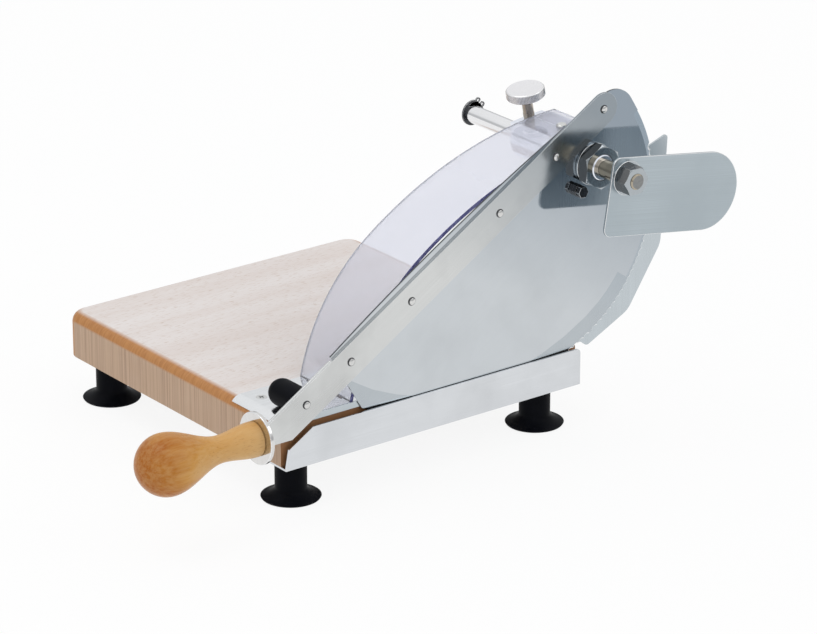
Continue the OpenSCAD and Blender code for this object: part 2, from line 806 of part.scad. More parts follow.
module lever_rivets() {
  color("white") at_rivets() union() {
    translate([0, 0, -bar_t - blade_t]) cylinder(d = rivet_shank_d, h = bar_t + blade_t);
    dome_head(rivet_head_d, rivet_head_h);
  }
}

// Rubber bumper that lies across the top plate when the lever is down
module bumper() {
  r = bumper_d / 2;
  core_r = bumper_core_d / 2 + fit_gap;
  color("#17191c") turn_y(bumper_x, bumper_z, blade_back_y) rotate_extrude() polygon(concat(
    [[0, bumper_core_l], [core_r, bumper_core_l], [core_r, 0], [r - 0.8, 0], [r, 0.8]],
    [for (k = [0:12]) [r * cos(k * 7.5), bumper_l - r + r * sin(k * 7.5)]]
  ));
}

module bumper_screw() {
  shank_l = bar_t + blade_t + bumper_core_l - seat_gap;
  color("white") turn_y(bumper_x, bumper_z, bar_front_y) union() {
    cylinder(d = bumper_core_d, h = shank_l);
    rotate([180, 0, 0]) dome_head(rivet_head_d, rivet_head_h);
  }
}

// Handle: points away from the bar along X
module at_handle() {
  translate([bar_end_x, handle_y, handle_z]) rotate([0, -90, 0]) children();
}

module handle_bolt() {
  color("silver") at_handle() cylinder(d = handle_bolt_d, h = handle_bolt_l);
}

// Polished disc on the end of the bar
module handle_ferrule() {
  rim_r = ferrule_d / 2;
  hole_r = handle_bolt_d / 2 + fit_gap;
  color("gainsboro") at_handle() rotate_extrude() polygon([
    [hole_r, 0], [rim_r - 0.4, 0], [rim_r, 0.4], [rim_r, ferrule_t - 0.4], [rim_r - 0.4, ferrule_t], [hole_r, ferrule_t]
  ]);
}

// Turned grip: a foot on the disc, a slim neck and a ball
function ease(t) = t * t * (3 - 2 * t);

module handle_grip() {
  foot_r = grip_foot_d / 2;
  neck_r = grip_neck_d / 2;
  ball_r = grip_ball_d / 2;
  foot_end = 2.5;
  neck_at = grip_l * 0.31;
  ball_at = grip_l - ball_r;
  steps = 14;
  bore_r = handle_bolt_d / 2 + fit_gap;
  bore_l = handle_bolt_l - ferrule_t + seat_gap;
  color("peru") at_handle() translate([0, 0, ferrule_t]) rotate_extrude() polygon(concat(
    [[0, bore_l], [bore_r, bore_l], [bore_r, 0], [foot_r - 0.8, 0], [foot_r, 0.8]],
    [for (k = [0:steps])
      [foot_r + (neck_r - foot_r) * ease(k / steps), foot_end + (neck_at - foot_end) * k / steps]],
    [for (k = [1:steps])
      [neck_r + (ball_r - neck_r) * ease(k / steps), neck_at + (ball_at - neck_at) * k / steps]],
    [for (k = [1:steps]) [ball_r * cos(90 * k / steps), ball_at + ball_r * sin(90 * k / steps)]]
  ));
}

// Stop rod: slides through the hub, with a threaded stud in front and a groove behind
module stop_rod() {
  r = rod_d / 2;
  stud_r = stud_d / 2;
  shoulder_y = stop_back_y + face_gap;
  color("silver") turn_y(pivot_x, pivot_z, 0) rotate_extrude() polygon([
    [0, stud_end_y], [stud_r - 1, stud_end_y], [stud_r, stud_end_y + 1], [stud_r, shoulder_y],
    [r, shoulder_y], [r, groove_y - groove_w], [r - groove_depth, groove_y - groove_w],
    [r - groove_depth, groove_y], [r, groove_y], [r, rod_back_y - 1], [r - 1, rod_back_y], [0, rod_back_y]
  ]);
}

// Spring ring: narrow arms that end in two eyes, wide on the far side
module rod_circlip() {
  inner_r = rod_d / 2 - groove_depth + fit_gap;
  arm_shift = 0.8;
  relief_shift = 3;
  eye_r = 2.2;
  eye_at = inner_r + circlip_w + arm_shift + 0.3;
  eye_turn = circlip_gap_half + 9.5;
  color("#202225") slab_xz(groove_y - (groove_w - circlip_t) / 2, circlip_t)
    translate([pivot_x, pivot_z]) rotate(-45) difference() {
      union() {
        translate([0, arm_shift]) circle(inner_r + circlip_w);
        for (side = [-1, 1]) rotate(side * eye_turn) translate([0, eye_at]) circle(eye_r, $fn = 32);
      }
      circle(inner_r);
      translate([0, relief_shift]) circle(inner_r + 0.4);
      polygon([
        [0, 0], far_cut * [-sin(circlip_gap_half), cos(circlip_gap_half)],
        far_cut * [sin(circlip_gap_half), cos(circlip_gap_half)]
      ]);
      for (side = [-1, 1]) rotate(side * eye_turn) translate([0, eye_at]) circle(eye_r / 2, $fn = 24);
    }
}

// Stop plate: tilted as it is set, with small corners at the stud and a round end
module stop_plate() {
  near_r = 6.5;
  straight = stop_reach + stop_near - stop_end_r;
  color("gainsboro") slab_xz(stop_back_y, stop_t) translate([pivot_x, pivot_z]) rotate(-stop_tilt) difference() {
    translate([-stop_near, stop_top - stop_h]) difference() {
      union() {
        square([straight, stop_h]);
        translate([straight, stop_end_r]) circle(stop_end_r);
      }
      translate([0, stop_h]) round_corner(near_r, 90);
      round_corner(near_r, 180);
    }
    circle(d = stud_d + 2 * fit_gap);
  }
}

module stud_washer() {
  color("silver") turn_y(pivot_x, pivot_z, stud_nut_back_y)
    washer(stud_washer_d, stud_d + 2 * fit_gap, stud_washer_t);
}

module stud_nut() {
  color("lightgray") turn_y(pivot_x, pivot_z, stud_nut_back_y - stud_nut_t)
    hex_nut(stud_nut_af, stud_nut_t, stud_d + 2 * fit_gap);
}

// Thumb screw: a flat head on a stem that clamps the rod through the hub wall
module thumb_knob() {
  collar_r = clamp_d / 2 + 1.5;
  collar_h = 1.6;
  rim_r = knob_d / 2;
  hole_r = clamp_d / 2 + fit_gap;
  color("silver") at_clamp() translate([0, 0, knob_rise]) rotate_extrude() polygon([
    [hole_r, -collar_h], [collar_r, -collar_h], [collar_r + 0.8, 0], [rim_r - 0.8, 0], [rim_r, 0.8],
    [rim_r, knob_t - 0.8], [rim_r - 0.8, knob_t], [0, knob_t], [0, knob_t - 2], [hole_r, knob_t - 2]
  ]);
}

module clamp_stud() {
  color("silver") at_clamp() translate([0, 0, rod_d / 2 + seat_gap])
    cylinder(d = clamp_d, h = knob_rise + knob_t - 2 - rod_d / 2 - seat_gap);
}

base_board();
foot_front_near();
foot_front_far();
foot_rear_near();
foot_rear_far();
foot_screws();
front_rail();
rail_screws();
top_plate();
plate_screws();
upright();
hub_tube();
thrust_washer();
pivot_washer();
pivot_nut();
lock_screw();
lock_nut();
hand_guard();
guard_screws();
blade();
lever_bar();
bar_doubler();
lever_rivets();
bumper();
bumper_screw();
handle_bolt();
handle_ferrule();
handle_grip();
stop_rod();
rod_circlip();
stop_plate();
stud_washer();
stud_nut();
thumb_knob();
clamp_stud();
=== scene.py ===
import math

import bmesh
import bpy
from mathutils import Matrix, Vector


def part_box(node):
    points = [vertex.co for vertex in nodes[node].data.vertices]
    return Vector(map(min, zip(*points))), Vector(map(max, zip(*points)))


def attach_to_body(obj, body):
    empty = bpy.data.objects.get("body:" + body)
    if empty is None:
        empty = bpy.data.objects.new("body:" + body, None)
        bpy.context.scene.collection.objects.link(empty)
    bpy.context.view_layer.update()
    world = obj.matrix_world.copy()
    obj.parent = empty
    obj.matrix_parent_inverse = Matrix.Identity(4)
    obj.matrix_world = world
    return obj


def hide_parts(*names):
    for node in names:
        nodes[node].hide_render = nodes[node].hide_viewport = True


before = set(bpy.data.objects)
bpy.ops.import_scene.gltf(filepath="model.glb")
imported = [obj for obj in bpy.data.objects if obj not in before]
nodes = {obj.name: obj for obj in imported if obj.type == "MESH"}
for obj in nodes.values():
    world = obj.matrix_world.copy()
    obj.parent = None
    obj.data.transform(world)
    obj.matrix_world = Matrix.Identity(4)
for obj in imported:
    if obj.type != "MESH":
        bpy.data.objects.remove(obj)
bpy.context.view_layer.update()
mm = 0.001
mergeDistance = 2e-6  # corners of the frame's loose triangles that are nearer than this are one corner
flatAngle = math.radians(0.3)  # faces that meet at less than this are one flat face
print("frame loaded:", len(nodes), "nodes")

# measures shared by several pieces, in metres, taken from the frame
pivotAxis = (Vector(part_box("pivot_nut")[0]) + Vector(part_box("pivot_nut")[1])) / 2
barAngle = math.radians(31.66)
clampLean = math.radians(11)

# camera at the photo's viewing angle
cameraSetup = {
    "place": (-1.71963, -2.34315, 1.2305),
    "forward": (0.5639, 0.7397, -0.3673),
    "lens": 185.07,
    "sensor": 36.0,
    "near": 0.05,
    "far": 60,
}
cameraData = bpy.data.cameras.new("photoCamera")
cameraData.lens = cameraSetup["lens"]
cameraData.sensor_width = cameraSetup["sensor"]
cameraData.clip_start = cameraSetup["near"]
cameraData.clip_end = cameraSetup["far"]
photoCamera = bpy.data.objects.new("photoCamera", cameraData)
bpy.context.scene.collection.objects.link(photoCamera)
photoCamera.location = cameraSetup["place"]
photoCamera.rotation_mode = "QUATERNION"
photoCamera.rotation_quaternion = Vector(cameraSetup["forward"]).to_track_quat("-Z", "Y")
bpy.context.scene.camera = photoCamera
bpy.context.scene.view_settings.view_transform = "Standard"


# small helpers for node trees
def addNode(tree, kind, values=None, **props):
    node = tree.nodes.new(kind)
    for key, value in props.items():
        setattr(node, key, value)
    for key, value in (values or {}).items():
        node.inputs[key].default_value = value
    return node


def startMaterial(name):
    mat = bpy.data.materials.new(name)
    mat.use_nodes = True
    tree = mat.node_tree
    shader = tree.nodes["Principled BSDF"]
    coord = addNode(tree, "ShaderNodeTexCoord")
    return mat, tree, shader, coord


def stretchedNoise(tree, coord, scale, detail=3.0, rough=0.55, turn=0.0):
    place = coord.outputs["Object"]
    if turn:
        turned = addNode(tree, "ShaderNodeMapping", {"Rotation": (0, turn, 0)})
        tree.links.new(place, turned.inputs["Vector"])
        place = turned.outputs["Vector"]
    mapping = addNode(tree, "ShaderNodeMapping", {"Scale": scale})
    noise = addNode(tree, "ShaderNodeTexNoise", {"Scale": 1.0, "Detail": detail, "Roughness": rough})
    tree.links.new(place, mapping.inputs["Vector"])
    tree.links.new(mapping.outputs["Vector"], noise.inputs["Vector"])
    return noise.outputs["Fac"]


def ramp(tree, fac, stops):
    node = addNode(tree, "ShaderNodeValToRGB")
    elements = node.color_ramp.elements
    while len(elements) < len(stops):
        elements.new(0.5)
    for element, (place, colour) in zip(elements, stops):
        element.position = place
        element.color = (*colour, 1.0)
    tree.links.new(fac, node.inputs["Fac"])
    return node.outputs["Color"]


def mixColour(tree, fac, first, second):
    node = addNode(tree, "ShaderNodeMix", data_type="RGBA")
    for socket, value in ((node.inputs[0], fac), (node.inputs[6], first), (node.inputs[7], second)):
        if isinstance(value, bpy.types.NodeSocket):
            tree.links.new(value, socket)
        elif isinstance(value, (int, float)):
            socket.default_value = value
        else:
            socket.default_value = (*value, 1.0)
    return node.outputs[2]


def math2(tree, operation, first, second=0.0, clamp=False):
    node = addNode(tree, "ShaderNodeMath", operation=operation, use_clamp=clamp)
    for socket, value in zip(node.inputs, (first, second)):
        if isinstance(value, bpy.types.NodeSocket):
            tree.links.new(value, socket)
        else:
            socket.default_value = value
    return node.outputs[0]


def spread(tree, fac, low, high, fromLow=0.3, fromHigh=0.7):
    node = addNode(tree, "ShaderNodeMapRange", {1: fromLow, 2: fromHigh, 3: low, 4: high})
    tree.links.new(fac, node.inputs[0])
    return node.outputs[0]


def addBump(tree, shader, height, strength, distance):
    bump = addNode(tree, "ShaderNodeBump", {"Strength": strength, "Distance": distance})
    tree.links.new(height, bump.inputs["Height"])
    tree.links.new(bump.outputs["Normal"], shader.inputs["Normal"])


# beech of the board: pale flecked faces, orange round-over on the cut ends, the front face painted dark brown as
# shade in the slot
boardWood = {
    "pale": (0.775, 0.725, 0.705),
    "warm": (0.725, 0.65, 0.615),
    "fleck": (0.50, 0.36, 0.27),
    "endPale": (0.54, 0.375, 0.255),
    "endDark": (0.37, 0.235, 0.155),
    "endWarm": (0.49, 0.33, 0.215),
    "band": (0.50, 0.225, 0.065),
    "bandDark": (0.42, 0.17, 0.043),
    "frontShade": (0.36, 0.17, 0.075),
    "roughness": (0.42, 0.58),
}


def beechMaterial():
    mat, tree, shader, coord = startMaterial("beechBoard")
    streak = stretchedNoise(tree, coord, (4, 55, 55), 4.0, 0.6)
    face = ramp(tree, streak, [(0.35, boardWood["warm"]), (0.62, boardWood["pale"])])
    fleckNoise = stretchedNoise(tree, coord, (150, 1300, 1300), 1.0, 0.4)
    fleck = spread(tree, fleckNoise, 0.0, 0.6, 0.60, 0.72)
    face = mixColour(tree, fleck, face, boardWood["fleck"])
    lines = stretchedNoise(tree, coord, (30, 760, 5), 2.0, 0.6)
    broad = stretchedNoise(tree, coord, (10, 60, 12), 3.0, 0.6)
    ends = ramp(tree, lines, [(0.36, boardWood["endDark"]), (0.56, boardWood["endPale"])])
    ends = mixColour(tree, spread(tree, broad, 0.0, 0.45), ends, boardWood["endWarm"])
    split = addNode(tree, "ShaderNodeSeparateXYZ")
    tree.links.new(coord.outputs["Normal"], split.inputs[0])
    acrossX = math2(tree, "ABSOLUTE", split.outputs[0])
    onEnd = spread(tree, acrossX, 0.0, 1.0, 0.955, 0.998)
    onBand = spread(tree, acrossX, 0.0, 1.0, 0.02, 0.50)
    bandLines = stretchedNoise(tree, coord, (120, 520, 60), 2.0, 0.6)
    band = ramp(tree, bandLines, [(0.35, boardWood["bandDark"]), (0.62, boardWood["band"])])
    colour = mixColour(tree, onBand, face, band)
    colour = mixColour(tree, onEnd, colour, ends)
    # painted shade: the front face, which sits in the slot, in dark brown
    frontShadeMask = spread(tree, split.outputs[1], 1.0, 0.0, -0.95, -0.7)
    colour = mixColour(tree, frontShadeMask, colour, boardWood["frontShade"])
    tree.links.new(colour, shader.inputs["Base Color"])
    tree.links.new(spread(tree, streak, *boardWood["roughness"]), shader.inputs["Roughness"])
    addBump(tree, shader, fleckNoise, 0.10, 0.0004)
    return mat


# oiled wood of the grip, with the grain running along it and the ball darker than the neck
gripWood = {
    "dark": (0.39, 0.120, 0.013),
    "middle": (0.585, 0.285, 0.065),
    "light": (0.70, 0.470, 0.225),
    "fleck": (0.34, 0.130, 0.030),
    "ballEnd": -0.256,
    "neckEnd": -0.195,
    "roughness": (0.26, 0.40),
}


def gripMaterial():
    mat, tree, shader, coord = startMaterial("oiledGrip")
    cloud = stretchedNoise(tree, coord, (20, 45, 45), 3.0, 0.55)
    grain = stretchedNoise(tree, coord, (22, 420, 420), 3.0, 0.6)
    split = addNode(tree, "ShaderNodeSeparateXYZ")
    tree.links.new(coord.outputs["Object"], split.inputs[0])
    along = spread(tree, split.outputs[0], 0.0, 0.75, gripWood["ballEnd"], gripWood["neckEnd"])
    tone = math2(tree, "ADD", along, spread(tree, cloud, -0.22, 0.22), True)
    base = ramp(tree, tone, [(0.0, gripWood["dark"]), (0.45, gripWood["middle"]), (1.0, gripWood["light"])])
    colour = mixColour(tree, spread(tree, grain, 0.0, 0.26, 0.35, 0.65), base, gripWood["light"])
    fleckNoise = stretchedNoise(tree, coord, (190, 1500, 1500), 1.0, 0.4)
    colour = mixColour(tree, spread(tree, fleckNoise, 0.0, 0.32, 0.60, 0.72), colour, gripWood["fleck"])
    tree.links.new(colour, shader.inputs["Base Color"])
    tree.links.new(spread(tree, cloud, *gripWood["roughness"]), shader.inputs["Roughness"])
    shader.inputs["Specular IOR Level"].default_value = 0.12
    shader.inputs["Coat Weight"].default_value = 0.06
    shader.inputs["Coat Roughness"].default_value = 0.2
    addBump(tree, shader, fleckNoise, 0.08, 0.0003)
    return mat


# painted reflections that grow along a direction: the lever's steel painted darker and bluer toward the pivot,
# the stop rod painted tan in front of the pivot nut
heelPaintedReflection = {"toward": (0.447, 0.0, 0.894), "reach": (0.140, 0.285), "tint": (0.90, 1.0, 1.10)}
rodPaintedReflection = {"toward": (0.0, -1.0, 0.0), "reach": (0.114, 0.122), "tint": (1.10, 0.97, 0.76)}


def steelMaterial(name, colour, roughness, along=(6, 2600, 2600), turn=0.0, streak=0.06, bump=0.03, cloud=0.05,
                  stain=0.06, reflectionDim=1.0, tone=heelPaintedReflection):
    mat, tree, shader, coord = startMaterial(name)
    lines = stretchedNoise(tree, coord, along, 2.0, 0.6, turn)
    smudge = stretchedNoise(tree, coord, (17, 17, 17), 3.0, 0.6)
    darker = tuple(c * (1 - 2 * streak) for c in colour)
    lighter = tuple(min(1.0, c * (1 + streak)) for c in colour)
    shade = ramp(tree, lines, [(0.30, darker), (0.70, lighter)])
    worn = tuple(c * (1 - stain) for c in colour)
    shade = mixColour(tree, spread(tree, smudge, 0.0, 0.8, 0.45, 0.75), shade, worn)
    # painted reflection: toward the given direction the colour dims and takes a tint
    if reflectionDim < 1.0:
        towardPaintedReflection = addNode(tree, "ShaderNodeVectorMath", {1: tone["toward"]}, operation="DOT_PRODUCT")
        tree.links.new(coord.outputs["Object"], towardPaintedReflection.inputs[0])
        near = spread(tree, towardPaintedReflection.outputs["Value"], 0.0, 1.0, *tone["reach"])
        shade = mixColour(tree, near, shade, tuple(c * t * reflectionDim for c, t in zip(colour, tone["tint"])))
    tree.links.new(shade, shader.inputs["Base Color"])
    shader.inputs["Metallic"].default_value = 1.0
    fine = spread(tree, lines, roughness - cloud / 2, roughness + cloud / 2)
    broad = spread(tree, smudge, -cloud, cloud)
    tree.links.new(math2(tree, "ADD", fine, broad, True), shader.inputs["Roughness"])
    addBump(tree, shader, lines, bump, 0.0002)
    return mat


def rubberMaterial():
    mat, tree, shader, coord = startMaterial("blackRubber")
    mottle = stretchedNoise(tree, coord, (900, 900, 900), 2.0, 0.6)
    dust = stretchedNoise(tree, coord, (60, 60, 60), 3.0, 0.6)
    colour = ramp(tree, dust, [(0.35, (0.0015, 0.002, 0.0035)), (0.75, (0.004, 0.0045, 0.0075))])
    tree.links.new(colour, shader.inputs["Base Color"])
    tree.links.new(spread(tree, dust, 0.42, 0.58), shader.inputs["Roughness"])
    shader.inputs["Specular IOR Level"].default_value = 0.06
    addBump(tree, shader, mottle, 0.12, 0.0002)
    return mat


def acrylicMaterial():
    mat, tree, shader, coord = startMaterial("clearAcrylic")
    haze = stretchedNoise(tree, coord, (25, 25, 25), 3.0, 0.6)
    tint = ramp(tree, haze, [(0.35, (0.855, 0.865, 0.94)), (0.65, (0.87, 0.88, 0.95))])
    tree.links.new(tint, shader.inputs["Base Color"])
    tree.links.new(spread(tree, haze, 0.0, 0.03), shader.inputs["Roughness"])
    shader.inputs["Transmission Weight"].default_value = 0.72
    shader.inputs["IOR"].default_value = 1.4
    return mat


def acrylicEdgeMaterial(name, dark, light, clear):
    mat, tree, shader, coord = startMaterial(name)
    haze = stretchedNoise(tree, coord, (120, 120, 120), 3.0, 0.6)
    tint = ramp(tree, haze, [(0.35, dark), (0.65, light)])
    tree.links.new(tint, shader.inputs["Base Color"])
    tree.links.new(spread(tree, haze, 0.2, 0.35), shader.inputs["Roughness"])
    shader.inputs["Transmission Weight"].default_value = clear
    shader.inputs["IOR"].default_value = 1.3
    return mat


def nylonMaterial():
    mat, tree, shader, coord = startMaterial("paleNylon")
    haze = stretchedNoise(tree, coord, (200, 200, 200), 2.0, 0.5)
    tint = ramp(tree, haze, [(0.35, (0.78, 0.75, 0.66)), (0.65, (0.84, 0.81, 0.73))])
    tree.links.new(tint, shader.inputs["Base Color"])
    tree.links.new(spread(tree, haze, 0.4, 0.5), shader.inputs["Roughness"])
    return mat


# finishes, one for each kind of surface on the slicer, with darker and brighter copies that are painted shade,
# highlight and reflection
finish = {
    "beech": beechMaterial(),
    "grip": gripMaterial(),
    "rubber": rubberMaterial(),
    "rail": steelMaterial("brightRail", (0.69, 0.71, 0.735), 0.20, streak=0.025, bump=0.012, stain=0.14),
    "plate": steelMaterial("brightPlate", (0.84, 0.85, 0.86), 0.16),
    "bar": steelMaterial("brightBar", (0.65, 0.66, 0.655), 0.20, (9, 1500, 1500), barAngle, 0.02, 0.01, 0.08,
                         stain=0.20, reflectionDim=0.50),
    "blade": steelMaterial("bladeSteel", (0.58, 0.61, 0.635), 0.06, (9, 900, 900), barAngle, 0.006, 0.0015, 0.03,
                           stain=0.09, reflectionDim=0.56),
    "bevel": steelMaterial("groundBevel", (0.49, 0.53, 0.56), 0.24, (9, 900, 900), barAngle, 0.015, 0.006, reflectionDim=0.7),
    "bladeBack": steelMaterial("bladeBackEdge", (0.10, 0.108, 0.115), 0.34, (400, 400, 400), 0.0, 0.06, 0.03),
    # painted highlight: the scallops in a bright steel for the white glints along the ground edge
    "scallop": steelMaterial("scallopPaintedHighlight", (0.90, 0.91, 0.92), 0.30, (400, 400, 400), 0.0, 0.02, 0.01),
    "disc": steelMaterial("polishedDisc", (0.72, 0.71, 0.70), 0.10, (300, 300, 300), 0.0, 0.02, 0.01),
    "satin": steelMaterial("satinStop", (0.45, 0.51, 0.545), 0.36, (5, 2200, 2200), math.radians(-9.2), 0.05, 0.04),
    "upright": steelMaterial("satinUpright", (0.55, 0.60, 0.63), 0.28, (2600, 2600, 5), 0.0, 0.03, 0.02),
    "chrome": steelMaterial("chromeParts", (0.42, 0.455, 0.48), 0.10, (300, 300, 300), 0.0, 0.02, 0.01),
    # painted shade: the rail's wall inside the slot in a dark dull steel
    "slotWallShade": steelMaterial("slotWallPaintedShade", (0.09, 0.09, 0.095), 0.42),
    # painted shade: a darker copy of the chrome for the nut sides and the knob's underside
    "paintedShadeSide": steelMaterial("shadedSidesPainted", (0.16, 0.165, 0.168), 0.16, (400, 400, 400), 0.0, 0.06, 0.03),
    # painted shade: a darker copy of the steel for the stop rod's front end
    "rodEndShade": steelMaterial("rodEndPaintedShade", (0.25, 0.255, 0.255), 0.20, (400, 400, 400), 0.0, 0.06, 0.03),
    "rod": steelMaterial("polishedRod", (0.86, 0.86, 0.87), 0.14, (2500, 10, 2500), 0.0, 0.02, 0.01,
                         reflectionDim=0.45, tone=rodPaintedReflection),
    "hub": steelMaterial("turnedHub", (0.80, 0.83, 0.90), 0.06, (2500, 10, 2500), 0.0, 0.02, 0.004, 0.02),
    "knob": steelMaterial("champagneKnob", (0.91, 0.90, 0.915), 0.30, (900, 900, 900), 0.0, 0.05, 0.04),
    "knurl": steelMaterial("knurledRim", (0.66, 0.64, 0.62), 0.22, (900, 900, 900), 0.0, 0.05, 0.04),
    # painted reflection: the clamp stud and its thread in dark brown, standing in for the dark reflections and shade
    # on the stud
    "stem": steelMaterial("stemDarkReflection", (0.40, 0.36, 0.31), 0.16, (300, 300, 300), 0.0, 0.03, 0.02),
    "zinc": steelMaterial("zincScrews", (0.70, 0.70, 0.69), 0.20, (400, 400, 400), 0.0, 0.05, 0.03),
    # blackened steel of the lock screw, its nut and the circlip; also painted shade round the rivet heads
    "dark": steelMaterial("blackenedSteelAndShade", (0.075, 0.077, 0.082), 0.24, (500, 500, 500), 0.0, 0.05, 0.03),
    # a paler steel on every bevelled edge
    "paleBevelEdge": steelMaterial("paleBevelEdge", (0.88, 0.885, 0.89), 0.24, (300, 300, 300), 0.0, 0.04, 0.02),
    "clear": acrylicMaterial(),
    "backEdge": acrylicEdgeMaterial("acrylicBackEdge", (0.50, 0.52, 0.60), (0.62, 0.64, 0.72), 0.6),
    "frontEdge": acrylicEdgeMaterial("acrylicFrontEdge", (0.11, 0.11, 0.30), (0.20, 0.20, 0.46), 0.4),
    "nylon": nylonMaterial(),
}
print("finishes made:", len(finish))


# a merged copy of a frame node, with clean faces, smooth curves and softened edges
def mergedMesh(node, name):
    mesh = nodes[node].data.copy()
    mesh.name = name
    mesh.materials.clear()
    shape = bmesh.new()
    shape.from_mesh(mesh)
    bmesh.ops.remove_doubles(shape, verts=shape.verts, dist=mergeDistance)
    bmesh.ops.dissolve_limit(shape, angle_limit=flatAngle, verts=shape.verts, edges=shape.edges)
    shape.to_mesh(mesh)
    shape.free()
    if "custom_normal" in mesh.attributes:
        mesh.attributes.remove(mesh.attributes["custom_normal"])
    return mesh


def linkObject(name, mesh):
    piece = bpy.data.objects.new(name, mesh)
    bpy.context.scene.collection.objects.link(piece)
    return piece


def bakeModifiers(piece):
    depsgraph = bpy.context.evaluated_depsgraph_get()
    result = bpy.data.meshes.new_from_object(piece.evaluated_get(depsgraph))
    piece.modifiers.clear()
    old = piece.data
    piece.data = result
    bpy.data.meshes.remove(old)
    return piece


def smoothFaces(mesh, angle):
    mesh.shade_smooth()
    mesh.set_sharp_from_angle(angle=math.radians(angle))


def attach(piece, body, slot, *replaced):
    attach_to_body(piece, body)
    if replaced:
        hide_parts(*replaced)
    return piece


def dressNode(node, name, body, slot, materials, edge=0.0, segments=2, smooth=32, limit=40):
    piece = linkObject(name, mergedMesh(node, name))
    for mat in materials:
        piece.data.materials.append(mat)
    if edge:
        bevel = piece.modifiers.new("edge", "BEVEL")
        bevel.width = edge
        bevel.segments = segments
        bevel.limit_method = "ANGLE"
        bevel.angle_limit = math.radians(limit)
        bevel.use_clamp_overlap = True
        bevel.material = len(materials) - 1
        piece.data.shade_smooth()
        weigh = piece.modifiers.new("weigh", "WEIGHTED_NORMAL")  # flat faces stay flat beside a soft edge
        weigh.mode = "FACE_AREA"
        weigh.weight = 50
        bakeModifiers(piece)
    else:
        smoothFaces(piece.data, smooth)
    return attach(piece, body, slot, node)


# pieces that keep the frame's shape, with a soft edge each
dressed = [
    ("base_board", "beechBoard", "base", "beech", "beech", 0.4),
    ("foot_front_near", "suctionFootA", "base", "rubber", "rubber", 0.0),
    ("foot_front_far", "suctionFootB", "base", "rubber", "rubber", 0.0),
    ("foot_rear_near", "suctionFootC", "base", "rubber", "rubber", 0.0),
    ("foot_rear_far", "suctionFootD", "base", "rubber", "rubber", 0.0),
    ("front_rail", "slotRail", "base", "bright_sheet", "rail", 0.3),
    ("top_plate", "slotPlate", "base", "bright_sheet", "plate", 0.2),
    ("upright", "uprightSheet", "base", "satin_sheet", "upright", 0.2),
    ("hub_tube", "hubTube", "base", "chrome", "hub", 0.25),
    ("pivot_washer", "pivotWasher", "base", "chrome", "chrome", 0.3),
    ("pivot_nut", "pivotNut", "base", "chrome", "chrome", 0.25),
    ("lock_screw", "bladeScrew", "lever", "dark_steel", "dark", 0.2),
    ("lock_nut", "bladeScrewNut", "lever", "zinc", "dark", 0.15),
    ("lever_bar", "leverBar", "lever", "bright_sheet", "bar", 0.55),
    ("bar_doubler", "barDoubler", "lever", "bright_sheet", "bar", 0.2),
    ("bumper", "rubberBumper", "lever", "rubber", "rubber", 0.0),
    ("handle_ferrule", "handleDisc", "lever", "bright_sheet", "disc", 0.2),
    ("handle_grip", "turnedGrip", "lever", "handle_wood", "grip", 0.0),
    ("stop_rod", "stopRod", "stop_slide", "chrome", "rod", 0.0),
    ("rod_circlip", "rodCirclip", "stop_slide", "dark_steel", "dark", 0.15),
    ("stop_plate", "stopPlate", "stop_swing", "satin_sheet", "satin", 0.35),
    ("stud_washer", "studWasher", "stop_swing", "chrome", "chrome", 0.3),
    ("stud_nut", "studNut", "stop_swing", "chrome", "chrome", 0.25),
    ("thumb_knob", "thumbKnob", "thumb_screw", "chrome", "knob", 0.3),
    ("clamp_stud", "clampStud", "thumb_screw", "chrome", "stem", 0.0),
]
for node, name, body, slot, look, edge in dressed:
    looks = [finish[look]] if slot in ("beech", "rubber", "handle_wood") else [finish[look], finish["paleBevelEdge"]]
    dressNode(node, name, body, slot, looks, edge * mm)


# faces of a piece that are picked by their direction take another finish; on most pieces this is painted shade
def paintFaces(name, look, picked):
    mesh = bpy.data.objects[name].data
    mesh.materials.append(finish[look])
    for polygon in mesh.polygons:
        if mesh.materials[polygon.material_index] != finish["paleBevelEdge"] and picked(polygon):
            polygon.material_index = len(mesh.materials) - 1


facing = {"square": 0.9, "under": 0.8, "side": 0.4, "skirt": 0.85}
# painted shade: the stop rod's front end darker than its sides
paintFaces("stopRod", "rodEndShade", lambda polygon: polygon.normal.y < -facing["square"])  # front end
paintFaces("stopPlate", "upright", lambda polygon: polygon.normal.y > facing["square"])  # back
# painted shade: the knob's underside in the darker copy of the chrome
paintFaces("thumbKnob", "paintedShadeSide", lambda polygon: polygon.normal.z < -facing["under"])  # underside
# painted shade: the rail's wall inside the slot is painted dark
paintFaces("slotRail", "slotWallShade", lambda polygon: polygon.normal.y > facing["square"])  # wall inside the slot
# painted shade: the nut sides darker than their fronts
for nutName in ("pivotNut", "studNut"):
    paintFaces(nutName, "paintedShadeSide", lambda polygon: abs(polygon.normal.y) < facing["side"])
print("pieces dressed:", len(dressed))

# nodes that stay as they are, with a finish of their own
for node, look in (("foot_screws", "zinc"), ("rail_screws", "zinc"), ("guard_screws", "zinc"),
                   ("thrust_washer", "nylon"), ("handle_bolt", "zinc")):
    nodes[node].data.materials.clear()
    nodes[node].data.materials.append(finish[look])


# blade: flat faces polished; ground bevel and back edge each in a finish of their own, the scallops painted bright as
# a highlight
bladeFacing = {"flat": -0.99995, "bevel": -0.955, "scallop": -0.6, "rim": 0.5, "backRise": 0.02, "smooth": 3.0}


def aboveBar(point):
    offset = point - pivotAxis
    return offset.z * math.cos(barAngle) - offset.x * math.sin(barAngle) > bladeFacing["backRise"]


